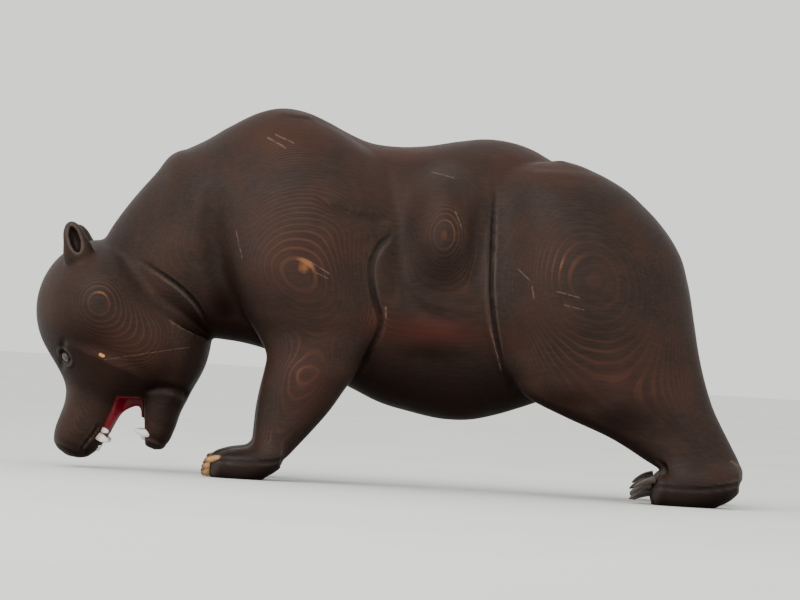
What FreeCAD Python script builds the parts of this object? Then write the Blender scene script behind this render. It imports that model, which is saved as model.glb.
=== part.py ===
import FreeCAD, Part
import os

# A carved wooden bear that stands on its four soles. Millimetres and degrees.
# The soles are at z = 0, +Z is up, the bear faces -Y and its left flank is at +X.

doc = FreeCAD.newDocument("carved_bear")
sheet = doc.addObject("Spreadsheet::Sheet", "sizes")

# Sizes that stand alone: alias, value, meaning.
SIZES = (
    ("glue_gap", 0.05, "play around a peg that is glued into its socket"),
    # haunches and shoulders
    ("haunch_back", 3, "centre of the haunch behind the rump section"),
    ("haunch_z", 113, "centre of the haunch above the floor"),
    ("haunch_inset", 31, "centre of the haunch inside its outer face"),
    ("haunch_span", 124, "outer face to outer face of the haunches"),
    ("haunch_long", 112, "haunch, front to back"),
    ("haunch_tall", 130, "haunch, top to bottom"),
    ("shoulder_ahead", 10, "centre of the shoulder ahead of the girth section"),
    ("shoulder_z", 122, "centre of the shoulder above the floor"),
    ("shoulder_inset", 28, "centre of the shoulder inside its outer face"),
    ("shoulder_span", 112, "outer face to outer face of the shoulders"),
    ("shoulder_long", 76, "shoulder, front to back"),
    ("shoulder_tall", 118, "shoulder, top to bottom"),
    # legs
    ("leg_inset", 18, "leg centre line inside the outer face of its haunch or shoulder"),
    ("fore_stagger", -7, "right foreleg set ahead of the left one"),
    ("hind_stagger", 14, "right hind leg set behind the left one"),
    # paws
    ("paw_wide", 32, "paw, side to side"),
    ("fore_paw_long", 52, "fore paw, heel to toe"),
    ("fore_paw_tall", 27, "fore paw ellipsoid, before the sole is cut flat"),
    ("fore_paw_step", -24.5, "centre of the fore paw, behind the shoulder"),
    ("hind_paw_long", 54, "hind paw, heel to toe"),
    ("hind_paw_tall", 27, "hind paw ellipsoid, before the sole is cut flat"),
    ("hind_paw_step", 51, "centre of the hind paw, behind the haunch"),
    ("sole_cut", 3.5, "depth of the paw ellipsoid that the flat sole takes off"),
    # claws
    ("claw_count", 5, "claws on one paw"),
    ("claw_pitch", 5.6, "claw to claw across the paw"),
    ("claw_long", 13, "claw with its root"),
    ("claw_root", 7, "length of the claw that is glued in"),
    ("claw_root_radius", 2.4, "claw radius at the root"),
    ("claw_tip_radius", 1.3, "claw radius at the blunt tip"),
    ("claw_droop", 8, "degrees that a claw points down"),
    ("claw_height", 4.6, "root of the inner claws above the floor"),
    ("claw_rise", 3.2, "each of the two outer claws sits this much above the one inside it"),
    # head frame
    ("head_reach", 155, "centre of the skull ahead of the origin"),
    ("head_height", 88, "centre of the skull above the floor"),
    ("head_pitch", 69, "degrees that the muzzle hangs below level"),
    ("skull_wide", 86, "skull, side to side"),
    ("skull_long", 84, "skull, front to back"),
    ("skull_tall", 76, "skull, top to bottom"),
    ("cheek_wide", 88, "cheeks, side to side"),
    ("cheek_long", 74, "cheeks, front to back"),
    ("cheek_tall", 72, "cheeks, top to bottom"),
    ("cheek_back", 8, "centre of the cheeks behind the skull centre"),
    ("cheek_drop", 18, "centre of the cheeks below the skull centre"),
    # muzzle, jaw and mouth, measured in the head frame
    ("nose_y", -68, "centre of the nose end"),
    ("nose_z", -11.5, "centre of the nose end"),
    ("nose_wide", 34, "nose end, side to side"),
    ("nose_long", 30, "nose end, front to back"),
    ("nose_tall", 34, "nose end, top to bottom"),
    ("jaw_y", -25, "centre of the lower jaw"),
    ("jaw_z", -42, "centre of the lower jaw"),
    ("jaw_wide", 44, "lower jaw, side to side"),
    ("jaw_long", 74, "lower jaw, front to back"),
    ("jaw_tall", 28, "lower jaw, top to bottom"),
    ("palate_z", -22.4, "flat roof of the mouth"),
    ("hinge_y", -37, "back wall of the mouth"),
    ("hinge_gap", 11, "height of the mouth at its back wall"),
    ("gape", 26, "degrees between the roof of the mouth and the lower jaw"),
    # ears
    ("ear_x", 26, "ear centre beside the middle plane"),
    ("ear_y", 23, "ear centre behind the skull centre"),
    ("ear_stand", 10, "ear centre above the skull's surface"),
    ("ear_tall", 26, "ear, root to tip"),
    ("ear_wide", 14, "ear, front to back"),
    ("ear_thick", 12, "ear, side to side"),
    ("ear_tilt", -50, "degrees that the ear leans back"),
    ("ear_wall", 2.2, "rim left around the cup of the ear"),
    # eyes
    ("eye_y", -32, "eye in the head frame"),
    ("eye_z", 14, "eye in the head frame"),
    ("eye_radius", 3.2, "glass eye"),
    ("eye_depth", 6, "straight shank of the eye, from its floor to its dome"),
    ("eye_proud", 2, "dome's widest ring in from the face of the skull"),
    # teeth
    ("canine_root_radius", 2.6, "canine at its root"),
    ("canine_tip_radius", 0.6, "canine at its tip"),
    ("canine_root", 4.5, "length of a canine that is glued in"),
    ("canine_show", 6.5, "length of a canine that shows"),
    ("canine_inset", 3.8, "centre of a canine inside the edge of its jaw"),
    ("upper_canine_y", -67, "upper canine along the jaw"),
    ("lower_canine_y", -54, "lower canine along the jaw"),
    ("incisor_count", 6, "incisors in one row"),
    ("incisor_pitch", 1.9, "incisor to incisor"),
    ("incisor_radius", 0.85, "incisor at its root"),
    ("incisor_tip_radius", 0.5, "incisor at its edge"),
    ("incisor_root", 2.5, "length of an incisor that is glued in"),
    ("incisor_show", 3, "length of an incisor that shows"),
    ("upper_incisor_y", -75, "upper row along the jaw"),
    ("lower_incisor_y", -57.5, "lower row along the jaw"),
)

# Upright oval sections from the tail to the neck: place along Y, top, underside, width.
TRUNK = {
    "stern": (154.5, 124, 80, 34),
    "tail": (137.5, 150, 70, 60),
    "rump": (98.5, 177, 54, 96),
    "loin": (38.5, 192, 42, 112),
    "ribs": (-3.5, 186, 46, 112),
    "girth": (-39.5, 194, 58, 104),
    "hump": (-75.5, 201.5, 70, 90),
    "withers": (-105.5, 186, 86, 76),
    "crest": (-121.5, 172, 98, 62),
}

# Level oval sections down each leg: height, step behind the shoulder or haunch, width, depth.
FORELEG = {
    "fore_upper": (112, 6, 32, 56),
    "fore_elbow": (76, 9, 34, 46),
    "fore_arm": (54, 3, 31, 43),
    "fore_wrist": (33, -4, 27, 36),
    "fore_ankle": (12, -11, 25, 28),
}
HIND_LEG = {
    "hind_thigh": (106, 5, 32, 74),
    "hind_ham": (82, 13, 36, 84),
    "hind_knee": (60, 16, 36, 84),
    "hind_shank": (38, 35, 32, 64),
    "hind_ankle": (18, 56, 28, 43),
    "hind_heel": (9, 58, 26, 36),
}

# Sections square to the neck's line, which runs to the skull's centre: place before the
# centre, width, depth.
NECK = {
    "neck_root": (98, 82, 94),
    "neck_back": (68, 80, 107),
    "neck_mid": (42, 76, 94),
    "neck_end": (18, 66, 72),
}
NECK_START = (
    ("neck_ahead", 2, "start of the neck's line ahead of the hump section"),
    ("neck_z", 148, "start of the neck's line above the floor"),
)

# Sections along the muzzle, in the head frame: place along Y, centre, width, height.
MUZZLE = {
    "brow": (-26, -8, 60, 52),
    "bridge": (-50, -9.5, 42, 38),
    "snout": (-70, -11.5, 34, 33.9),
}


def fill_sheet():
    rows = list(SIZES) + list(NECK_START)
    for stations, columns in (
        (TRUNK, ("y", "top", "low", "wide")),
        (FORELEG, ("z", "step", "wide", "deep")),
        (HIND_LEG, ("z", "step", "wide", "deep")),
        (NECK, ("before", "wide", "deep")),
        (MUZZLE, ("y", "z", "wide", "tall")),
    ):
        for station, numbers in stations.items():
            for column, number in zip(columns, numbers):
                rows.append((f"{station}_{column}", number, f"section {station}: {column}"))
    for row, (alias, number, meaning) in enumerate(rows, start=1):
        sheet.set(f"A{row}", alias)
        sheet.set(f"B{row}", str(number))
        sheet.set(f"C{row}", meaning)
        sheet.setAlias(f"B{row}", alias)
    doc.recompute()


def size(alias):
    return f"sizes.{alias}"


def bind(item, rules):
    for name, rule in rules.items():
        item.setExpression(name, str(rule))


def place(item, x, y, z):
    bind(item, {"Placement.Base.x": x, "Placement.Base.y": y, "Placement.Base.z": z})


def turn(item, axis, degrees):
    item.Placement.Rotation = FreeCAD.Rotation(FreeCAD.Vector(*axis), 90)
    bind(item, {"Placement.Rotation.Angle": degrees})


def ellipsoid(name, centre, widths):
    # Turned a quarter, so that its closing edge faces forward.
    item = doc.addObject("Part::Ellipsoid", name)
    radii = zip(("Radius3", "Radius2", "Radius1"), widths)
    bind(item, {radius: f"({width}) / 2" for radius, width in radii})
    item.Placement.Rotation = FreeCAD.Rotation(FreeCAD.Vector(0, 0, 1), -90)
    place(item, *centre)
    return item


def cone(name, root_radius, tip_radius, length):
    item = doc.addObject("Part::Cone", name)
    bind(item, {"Radius1": root_radius, "Radius2": tip_radius, "Height": length})
    return item


def oval(name, long_width, short_width, centre, axis, degrees):
    item = doc.addObject("Part::Ellipse", name)
    item.MajorRadius = 1000
    bind(item, {"MinorRadius": f"({short_width}) / 2", "MajorRadius": f"({long_width}) / 2"})
    item.Placement.Rotation = FreeCAD.Rotation(FreeCAD.Vector(*axis), degrees)
    place(item, *centre)
    return item


def loft(name, sections):
    item = doc.addObject("Part::Loft", name)
    item.Sections = sections
    item.Solid = True
    return item


def join(name, pieces):
    item = doc.addObject("Part::MultiFuse", name)
    item.Shapes = pieces
    return item


def group(name, pieces):
    item = doc.addObject("Part::Compound", name)
    item.Links = pieces
    return item


def subtract(name, base, tool):
    item = doc.addObject("Part::Cut", name)
    item.Base = base
    item.Tool = tool
    return item


def hang_on_head(item):
    turn(item, (1, 0, 0), size("head_pitch"))
    place(item, 0, f"-{size('head_reach')}", size("head_height"))
    return item


UPRIGHT = ((1, 1, 1), 240)   # an oval in the XZ plane, long axis up
FACING = ((1, 0, 0), 90)     # an oval in the XZ plane, long axis across
LEVEL = ((0, 0, 1), 90)      # an oval in the XY plane, long axis front to back
SIDES = {"left": 1, "right": -1}


def trunk():
    sections = []
    for station in TRUNK:
        top, low = size(f"{station}_top"), size(f"{station}_low")
        centre = (0, size(f"{station}_y"), f"({top} + {low}) / 2")
        sections.append(oval(f"{station}_oval", f"{top} - {low}", size(f"{station}_wide"), centre, *UPRIGHT))
    return loft("trunk", sections)


def neck():
    # Built along its own line, from the skull's centre back towards the hump.
    sections = []
    for station in NECK:
        wide, deep = size(f"{station}_wide"), size(f"{station}_deep")
        sections.append(oval(f"{station}_oval", deep, wide, (0, 0, size(f"{station}_before")), *LEVEL))
    item = loft("neck", sections)
    back = f"({size('head_reach')} + {size('hump_y')} - {size('neck_ahead')})"
    up = f"({size('neck_z')} - {size('head_height')})"
    turn(item, (1, 0, 0), f"-atan2({back}; {up})")
    place(item, 0, f"-{size('head_reach')}", size("head_height"))
    return item


def limb_x(part, side):
    return f"{SIDES[side]} * ({size(part + '_span')} / 2 - {size('leg_inset')})"


ROOT_Y = {
    "haunch": f"({size('rump_y')} + {size('haunch_back')})",
    "shoulder": f"({size('girth_y')} - {size('shoulder_ahead')})",
}


def step_y(step, pair, part, side):
    # The right leg of a pair takes the step that the pair's stagger adds.
    stagger = size(f"{pair}_stagger") if side == "right" else "0"
    return f"({ROOT_Y[part]} + {size(step)} + {stagger})"


def leg(stations, pair, part, side):
    sections = []
    for station in stations:
        wide, deep = size(f"{station}_wide"), size(f"{station}_deep")
        y = step_y(f"{station}_step", pair, part, side)
        centre = (limb_x(part, side), y, size(f"{station}_z"))
        sections.append(oval(f"{station}_{side}_oval", deep, wide, centre, *LEVEL))
    return loft(f"{pair}_leg_{side}", sections)


def paw(pair, part, side):
    tall = size(f"{pair}_paw_tall")
    y = step_y(f"{pair}_paw_step", pair, part, side)
    centre = (limb_x(part, side), y, f"{tall} / 2 - {size('sole_cut')}")
    widths = (size("paw_wide"), size(f"{pair}_paw_long"), tall)
    return ellipsoid(f"{pair}_paw_{side}", centre, widths)


def bulge(part, side):
    centre = (
        f"{SIDES[side]} * ({size(part + '_span')} / 2 - {size(part + '_inset')})",
        ROOT_Y[part],
        size(f"{part}_z"),
    )
    widths = (f"2 * {size(part + '_inset')}", size(f"{part}_long"), size(f"{part}_tall"))
    return ellipsoid(f"{part}_{side}", centre, widths)


def muzzle():
    sections = []
    for station in MUZZLE:
        wide, tall = size(f"{station}_wide"), size(f"{station}_tall")
        centre = (0, size(f"{station}_y"), size(f"{station}_z"))
        sections.append(oval(f"{station}_oval", wide, tall, centre, *FACING))
    return loft("muzzle", sections)


def surface(block, width, offsets):
    # Half a block's width where it is cut at these distances from its centre.
    inside = "1"
    for name, offset in offsets.items():
        inside += f" - pow(({offset}) / ({size(block + '_' + name)} / 2); 2)"
    return f"({size(block + '_' + width)} / 2 * sqrt({inside}))"


def mouth():
    # A wedge right through from side to side: flat roof, sloping floor, upright back wall.
    item = doc.addObject("Part::Wedge", "mouth_cut")
    across = size("cheek_wide")
    front = f"({size('nose_y')} - {size('nose_long')})"
    floor_at_hinge = f"{size('palate_z')} - {size('hinge_gap')}"
    floor_at_front = f"{floor_at_hinge} - ({size('hinge_y')} - {front}) * tan({size('gape')} * 1 deg)"
    bind(item, {
        "Xmin": f"-{across}",
        "Xmax": across,
        "X2min": f"-{across}",
        "X2max": across,
        "Ymin": front,
        "Ymax": size("hinge_y"),
        "Zmin": floor_at_front,
        "Zmax": size("palate_z"),
        "Z2min": floor_at_hinge,
        "Z2max": size("palate_z"),
    })
    return item


def ear(side):
    widths = (size("ear_thick"), size("ear_wide"), size("ear_tall"))
    leaf = ellipsoid(f"ear_leaf_{side}", (0, 0, 0), widths)
    wall = f"2 * {size('ear_wall')}"
    hollow = (
        size("ear_thick"),
        f"{size('ear_wide')} - {wall}",
        f"({size('ear_tall')} - {wall}) / 2",
    )
    cup_centre = (f"{SIDES[side]} * {size('ear_thick')} / 2", 0, f"{size('ear_tall')} / 4")
    cup = ellipsoid(f"ear_cup_{side}", cup_centre, hollow)
    item = subtract(f"ear_{side}", leaf, cup)
    turn(item, (1, 0, 0), size("ear_tilt"))
    skull_z = surface("skull", "tall", {"wide": size("ear_x"), "long": size("ear_y")})
    place(item, f"{SIDES[side]} * {size('ear_x')}", size("ear_y"), f"{skull_z} + {size('ear_stand')}")
    return item


def eye(side, play):
    # A glass bead on a straight shank. The shank's floor is play-free, so it seats on the socket.
    label = f"eye_{side}" if play == "0" else f"eye_socket_{side}"
    face_x = surface("skull", "wide", {"long": size("eye_y"), "tall": size("eye_z")})
    ring_x = f"({face_x} - {size('eye_proud')})"
    radius = f"{size('eye_radius')} + {play}"
    shank = doc.addObject("Part::Cylinder", f"{label}_shank")
    bind(shank, {"Radius": radius, "Height": size("eye_depth")})
    turn(shank, (0, 1, 0), 90 * SIDES[side])
    floor_x = f"{SIDES[side]} * ({ring_x} - {size('eye_depth')})"
    place(shank, floor_x, size("eye_y"), size("eye_z"))
    dome = doc.addObject("Part::Sphere", f"{label}_dome")
    bind(dome, {"Radius": radius})
    place(dome, f"{SIDES[side]} * {ring_x}", size("eye_y"), size("eye_z"))
    return hang_on_head(join(label, [shank, dome]))


def peg(label, at, points_up, radii, root, show, play):
    # A tooth: its root is glued into the jaw and its tip shows in the mouth.
    item = cone(label, f"{radii[0]} + {play}", f"{radii[1]} + {play}", f"{root} + {show}")
    if points_up:
        place(item, at[0], at[1], f"{at[2]} - {root}")
    else:
        turn(item, (1, 0, 0), 180)
        place(item, at[0], at[1], f"{at[2]} + {root}")
    return item


def jaw_floor(y):
    hinge = f"{size('palate_z')} - {size('hinge_gap')}"
    return f"({hinge} - ({size('hinge_y')} - {y}) * tan({size('gape')} * 1 deg))"


def canine(jaw, side, play):
    label = f"{jaw}_canine_{side}" if play == "0" else f"{jaw}_canine_socket_{side}"
    y = size(f"{jaw}_canine_y")
    z = jaw_floor(y) if jaw == "lower" else size("palate_z")
    block = "jaw" if jaw == "lower" else "nose"
    offsets = {"long": f"{y} - {size(block + '_y')}", "tall": f"{z} - {size(block + '_z')}"}
    edge_x = surface(block, "wide", offsets)
    at = (f"{SIDES[side]} * ({edge_x} - {size('canine_inset')})", y, z)
    radii = (size("canine_root_radius"), size("canine_tip_radius"))
    tooth = peg(f"{label}_peg", at, jaw == "lower", radii, size("canine_root"), size("canine_show"), play)
    return hang_on_head(group(label, [tooth]))


def incisors(jaw, play):
    label = f"{jaw}_incisors" if play == "0" else f"{jaw}_incisor_sockets"
    y = size(f"{jaw}_incisor_y")
    z = jaw_floor(y) if jaw == "lower" else size("palate_z")
    radii = (size("incisor_radius"), size("incisor_tip_radius"))
    count = int(sheet.incisor_count)
    teeth = []
    for number in range(count):
        at = (f"({number} - ({size('incisor_count')} - 1) / 2) * {size('incisor_pitch')}", y, z)
        tooth = peg(f"{label}_{number}", at, jaw == "lower", radii, size("incisor_root"), size("incisor_show"), play)
        teeth.append(tooth)
    return hang_on_head(group(label, teeth))


def claws(pair, part, side, play):
    label = f"claws_{pair}_{side}" if play == "0" else f"claw_sockets_{pair}_{side}"
    tall = size(f"{pair}_paw_tall")
    count = int(sheet.claw_count)
    pieces = []
    for number in range(count):
        across = f"(({number} - ({size('claw_count')} - 1) / 2) * {size('claw_pitch')})"
        steps_up = max(0, number - (count - 1) // 2)
        height = f"({size('claw_height')} + {steps_up} * {size('claw_rise')})"
        # The claw's root starts inside the toe end of the paw, at the depth of claw_root.
        sideways = f"pow({across} / ({size('paw_wide')} / 2); 2)"
        upward = f"pow(({height} + {size('sole_cut')} - {tall} / 2) / ({tall} / 2); 2)"
        reach = f"{size(pair + '_paw_long')} / 2 * sqrt(1 - {sideways} - {upward})"
        radii = (size("claw_root_radius"), size("claw_tip_radius"))
        item = cone(f"{label}_{number}", f"{radii[0]} + {play}", f"{radii[1]} + {play}", size("claw_long"))
        turn(item, (1, 0, 0), f"90 + {size('claw_droop')}")
        place(
            item,
            f"{limb_x(part, side)} + {SIDES[side]} * {across}",
            f"{step_y(pair + '_paw_step', pair, part, side)} - {reach} + {size('claw_root')}",
            height,
        )
        pieces.append(item)
    return group(label, pieces)


LEG_PAIRS = {"fore": ("shoulder", FORELEG), "hind": ("haunch", HIND_LEG)}


def head_block():
    skull_widths = [size(f"skull_{width}") for width in ("wide", "long", "tall")]
    cheek_widths = [size(f"cheek_{width}") for width in ("wide", "long", "tall")]
    nose_widths = [size(f"nose_{width}") for width in ("wide", "long", "tall")]
    jaw_widths = [size(f"jaw_{width}") for width in ("wide", "long", "tall")]
    pieces = [
        ellipsoid("skull", (0, 0, 0), skull_widths),
        ellipsoid("cheeks", (0, size("cheek_back"), f"-{size('cheek_drop')}"), cheek_widths),
        ellipsoid("nose", (0, size("nose_y"), size("nose_z")), nose_widths),
        ellipsoid("jaw", (0, size("jaw_y"), size("jaw_z")), jaw_widths),
        muzzle(),
    ]
    pieces += [ear(side) for side in SIDES]
    return hang_on_head(subtract("head", join("head_mass", pieces), mouth()))


def floor_block():
    item = doc.addObject("Part::Box", "floor_cut")
    reach = f"({size('head_reach')} + {size('rump_y')} + {size('hind_paw_step')})"
    bind(item, {"Length": f"2 * {reach}", "Width": f"4 * {reach}", "Height": reach})
    place(item, f"-{reach}", f"-2 * {reach}", f"-{reach}")
    return item


def carved_body(sockets):
    pieces = [join("spine", [trunk(), neck()]), head_block()]
    for side in SIDES:
        for pair, (part, stations) in LEG_PAIRS.items():
            limb = [bulge(part, side), leg(stations, pair, part, side), paw(pair, part, side)]
            pieces.append(join(f"{pair}_quarter_{side}", limb))
    mass = join("body_mass", pieces)
    standing = subtract("body_on_soles", mass, floor_block())
    return subtract("carved_body", standing, join("sockets", sockets))


def inserts(play):
    pieces = [eye(side, play) for side in SIDES]
    for jaw in ("upper", "lower"):
        pieces += [canine(jaw, side, play) for side in SIDES]
        pieces.append(incisors(jaw, play))
    for pair, (part, _) in LEG_PAIRS.items():
        pieces += [claws(pair, part, side, play) for side in SIDES]
    return pieces


def check(nodes):
    failed = [item.Label for item in doc.Objects if {"Invalid", "Error"} & set(item.State)]
    if failed:
        raise RuntimeError("failed to build: " + ", ".join(failed))
    for node in nodes:
        if node.Shape.isNull() or not node.Shape.isValid():
            raise RuntimeError("bad shape: " + node.Label)


def main():
    fill_sheet()
    pieces = inserts("0")
    nodes = [carved_body(inserts(size("glue_gap")))] + pieces
    doc.recompute()
    check(nodes)
    os.makedirs("parts", exist_ok=True)
    for node in nodes:
        node.Shape.exportStep(f"parts/{node.Label}.step")


main()
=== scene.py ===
import math

import bpy
import numpy as np
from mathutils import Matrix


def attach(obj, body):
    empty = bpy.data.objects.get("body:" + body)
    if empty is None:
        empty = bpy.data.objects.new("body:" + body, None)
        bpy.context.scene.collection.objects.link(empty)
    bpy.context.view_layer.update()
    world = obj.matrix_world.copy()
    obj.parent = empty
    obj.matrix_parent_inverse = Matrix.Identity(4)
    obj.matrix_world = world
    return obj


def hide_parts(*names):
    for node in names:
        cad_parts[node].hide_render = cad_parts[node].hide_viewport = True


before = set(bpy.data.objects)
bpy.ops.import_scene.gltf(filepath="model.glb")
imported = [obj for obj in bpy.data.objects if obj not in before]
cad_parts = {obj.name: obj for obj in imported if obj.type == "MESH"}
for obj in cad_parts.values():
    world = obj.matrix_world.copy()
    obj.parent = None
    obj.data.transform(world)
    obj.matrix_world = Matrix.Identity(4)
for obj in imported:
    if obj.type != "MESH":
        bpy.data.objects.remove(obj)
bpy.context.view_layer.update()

import openvdb
from mathutils import Matrix, Vector

MM = 0.001
scene = bpy.context.scene

# The bear faces -Y, +Z is up and its left flank is at +X. Shapes below are in millimetres.


# ---------------------------------------------------------------- camera and stage

CAMERA_DISTANCE = 2500.0
VIEW_WIDTH = 434.0            # what the picture's width shows at the middle plane
TARGET = (0.0, -1.5, 101.0)
ROLL = math.radians(3.56)     # the ground falls to the right
RISE = math.radians(-0.8)     # the camera stands this much below level and looks slightly up


def add_camera():
    data = bpy.data.cameras.new("camera")
    data.sensor_width = 36.0
    data.lens = 36.0 * CAMERA_DISTANCE / VIEW_WIDTH
    data.clip_end = 60.0
    camera = bpy.data.objects.new("camera", data)
    scene.collection.objects.link(camera)
    away = Vector((math.cos(RISE), 0.0, math.sin(RISE)))
    camera.location = (Vector(TARGET) + away * CAMERA_DISTANCE) * MM
    look = (-away).to_track_quat("-Z", "Y").to_matrix()
    camera.rotation_euler = (look @ Matrix.Rotation(ROLL, 3, "Z")).to_euler()
    scene.camera = camera


def add_area(name, place, size, power):
    data = bpy.data.lights.new(name, "AREA")
    data.shape = "RECTANGLE"
    data.size, data.size_y = size
    data.energy = power
    lamp = bpy.data.objects.new(name, data)
    scene.collection.objects.link(lamp)
    lamp.location = place
    aim = Vector((0.0, 0.0, 0.10)) - Vector(place)
    lamp.rotation_euler = aim.to_track_quat("-Z", "Y").to_euler()


def add_stage(floor_material):
    world = bpy.data.worlds.new("studio")
    scene.world = world
    world.use_nodes = True
    back = world.node_tree.nodes["Background"]
    back.inputs["Color"].default_value = (0.985, 0.985, 0.965, 1.0)
    back.inputs["Strength"].default_value = 1.28
    add_area("key", (0.95, -0.60, 1.10), (0.9, 0.9), 9.0)
    add_area("window", (1.6, -0.9, 0.55), (1.2, 0.8), 8.0)
    mesh = bpy.data.meshes.new("floor")
    half = 25.0
    corners = [(-half, -half, 0.0), (half, -half, 0.0), (half, half, 0.0), (-half, half, 0.0)]
    mesh.from_pydata(corners, [], [(0, 1, 2, 3)])
    floor = bpy.data.objects.new("floor", mesh)
    scene.collection.objects.link(floor)
    floor.data.materials.append(floor_material)


# ---------------------------------------------------------------- materials

class Graph:
    """A material and the few node helpers that the recipes below share."""

    def __init__(self, name):
        self.material = bpy.data.materials.new(name)
        self.material.use_nodes = True
        self.tree = self.material.node_tree
        self.shader = self.tree.nodes["Principled BSDF"]
        where = self.tree.nodes.new("ShaderNodeTexCoord").outputs["Object"]
        self.place = self.vector("SCALE", where, scale=1000.0)   # in millimetres
        self.marked = None

    def feed(self, socket, value):
        if isinstance(value, bpy.types.NodeSocket):
            self.tree.links.new(value, socket)
        else:
            socket.default_value = value

    def math(self, operation, a, b=0.0, clamp=False):
        node = self.tree.nodes.new("ShaderNodeMath")
        node.operation = operation
        node.use_clamp = clamp
        self.feed(node.inputs[0], a)
        self.feed(node.inputs[1], b)
        return node.outputs[0]

    def vector(self, operation, a, b=None, scale=None):
        node = self.tree.nodes.new("ShaderNodeVectorMath")
        node.operation = operation
        self.feed(node.inputs[0], a)
        if b is not None:
            self.feed(node.inputs[1], b)
        if scale is not None:
            self.feed(node.inputs["Scale"], scale)
        return node.outputs["Value"] if operation in ("DOT_PRODUCT", "LENGTH") else node.outputs[0]

    def noise(self, scale, detail=2.0, roughness=0.5, place=None, stretch=None):
        place = place or self.place
        if stretch:
            place = self.vector("MULTIPLY", place, stretch)
        node = self.tree.nodes.new("ShaderNodeTexNoise")
        self.feed(node.inputs["Vector"], place)
        self.feed(node.inputs["Scale"], scale)
        self.feed(node.inputs["Detail"], detail)
        self.feed(node.inputs["Roughness"], roughness)
        return node.outputs[0]

    def span(self, value, low, high, to_low=0.0, to_high=1.0):
        node = self.tree.nodes.new("ShaderNodeMapRange")
        node.interpolation_type = "SMOOTHSTEP"
        for socket, number in zip(node.inputs, (value, low, high, to_low, to_high)):
            self.feed(socket, number)
        return node.outputs[0]

    def mix(self, share, a, b):
        node = self.tree.nodes.new("ShaderNodeMix")
        node.data_type = "RGBA"
        sockets = [node.inputs[0], node.inputs[6], node.inputs[7]]
        for socket, value in zip(sockets, (share, colour(a), colour(b))):
            self.feed(socket, value)
        return node.outputs[2]

    def painted(self, name):
        node = self.tree.nodes.new("ShaderNodeAttribute")
        node.attribute_name = name
        return node.outputs["Fac"]

    def scratch(self, start, end, width):
        """1 along a straight scratch on the left flank, seen from the side."""
        flat = self.marked
        a, b = Vector((0.0, *start)), Vector((0.0, *end))
        along = b - a
        offset = self.vector("SUBTRACT", flat, tuple(a))
        run = self.vector("DOT_PRODUCT", offset, tuple(along / along.length_squared))
        run = self.math("MAXIMUM", self.math("MINIMUM", run, 1.0), 0.0)
        foot = self.vector("SCALE", tuple(along), scale=run)
        gap = self.vector("LENGTH", self.vector("SUBTRACT", offset, foot))
        return self.span(gap, width, 0.3 * width)

    def bump(self, *layers):
        """layers: height from 0 to 1, depth in millimetres."""
        normal = None
        for height, depth in layers:
            node = self.tree.nodes.new("ShaderNodeBump")
            node.inputs["Distance"].default_value = depth * MM
            self.feed(node.inputs["Height"], height)
            if normal:
                self.feed(node.inputs["Normal"], normal)
            normal = node.outputs[0]
        self.feed(self.shader.inputs["Normal"], normal)

    def finish(self, base, roughness, **constants):
        self.feed(self.shader.inputs["Base Color"], base)
        self.feed(self.shader.inputs["Roughness"], roughness)
        for name, value in constants.items():
            self.feed(self.shader.inputs[name.replace("_", " ")], value)
        return self.material


def colour(value):
    return (*value, 1.0) if isinstance(value, tuple) else value


def growth_layers(g, spacing):
    """Layers nearly parallel to the middle plane, so each bulge shows them as rings."""
    x = g.tree.nodes.new("ShaderNodeSeparateXYZ")
    g.feed(x.inputs[0], g.place)
    depth = g.math("DIVIDE", g.math("ABSOLUTE", x.outputs[0]), spacing)
    drift = g.math("MULTIPLY", g.noise(0.009, 1.0), 2.4)
    wobble = g.math("MULTIPLY", g.noise(0.07, 2.0), 0.35)
    layer = g.math("ADD", g.math("ADD", depth, drift), wobble)
    wave = g.math("SINE", g.math("MULTIPLY", layer, 2.0 * math.pi))
    return g.span(wave, 0.15, 1.0)


def side_view(g):
    """Places on the flank as the camera sees them, in the terms of the tables above."""
    parts = g.tree.nodes.new("ShaderNodeSeparateXYZ")
    g.feed(parts.inputs[0], g.place)
    side = g.math("ABSOLUTE", parts.outputs[0])
    near = g.math("SUBTRACT", 1.0, g.math("DIVIDE", side, CAMERA_DISTANCE))
    centre = (0.0, SIGHT[0] + LAYOUT_Y, SIGHT[1])
    flat = g.vector("MULTIPLY", g.vector("SUBTRACT", g.place, centre), (0.0, 1.0, 1.0))
    grown = g.vector("SCALE", flat, scale=g.math("DIVIDE", 1.0, near))
    return g.vector("ADD", grown, (0.0, *SIGHT))


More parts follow.
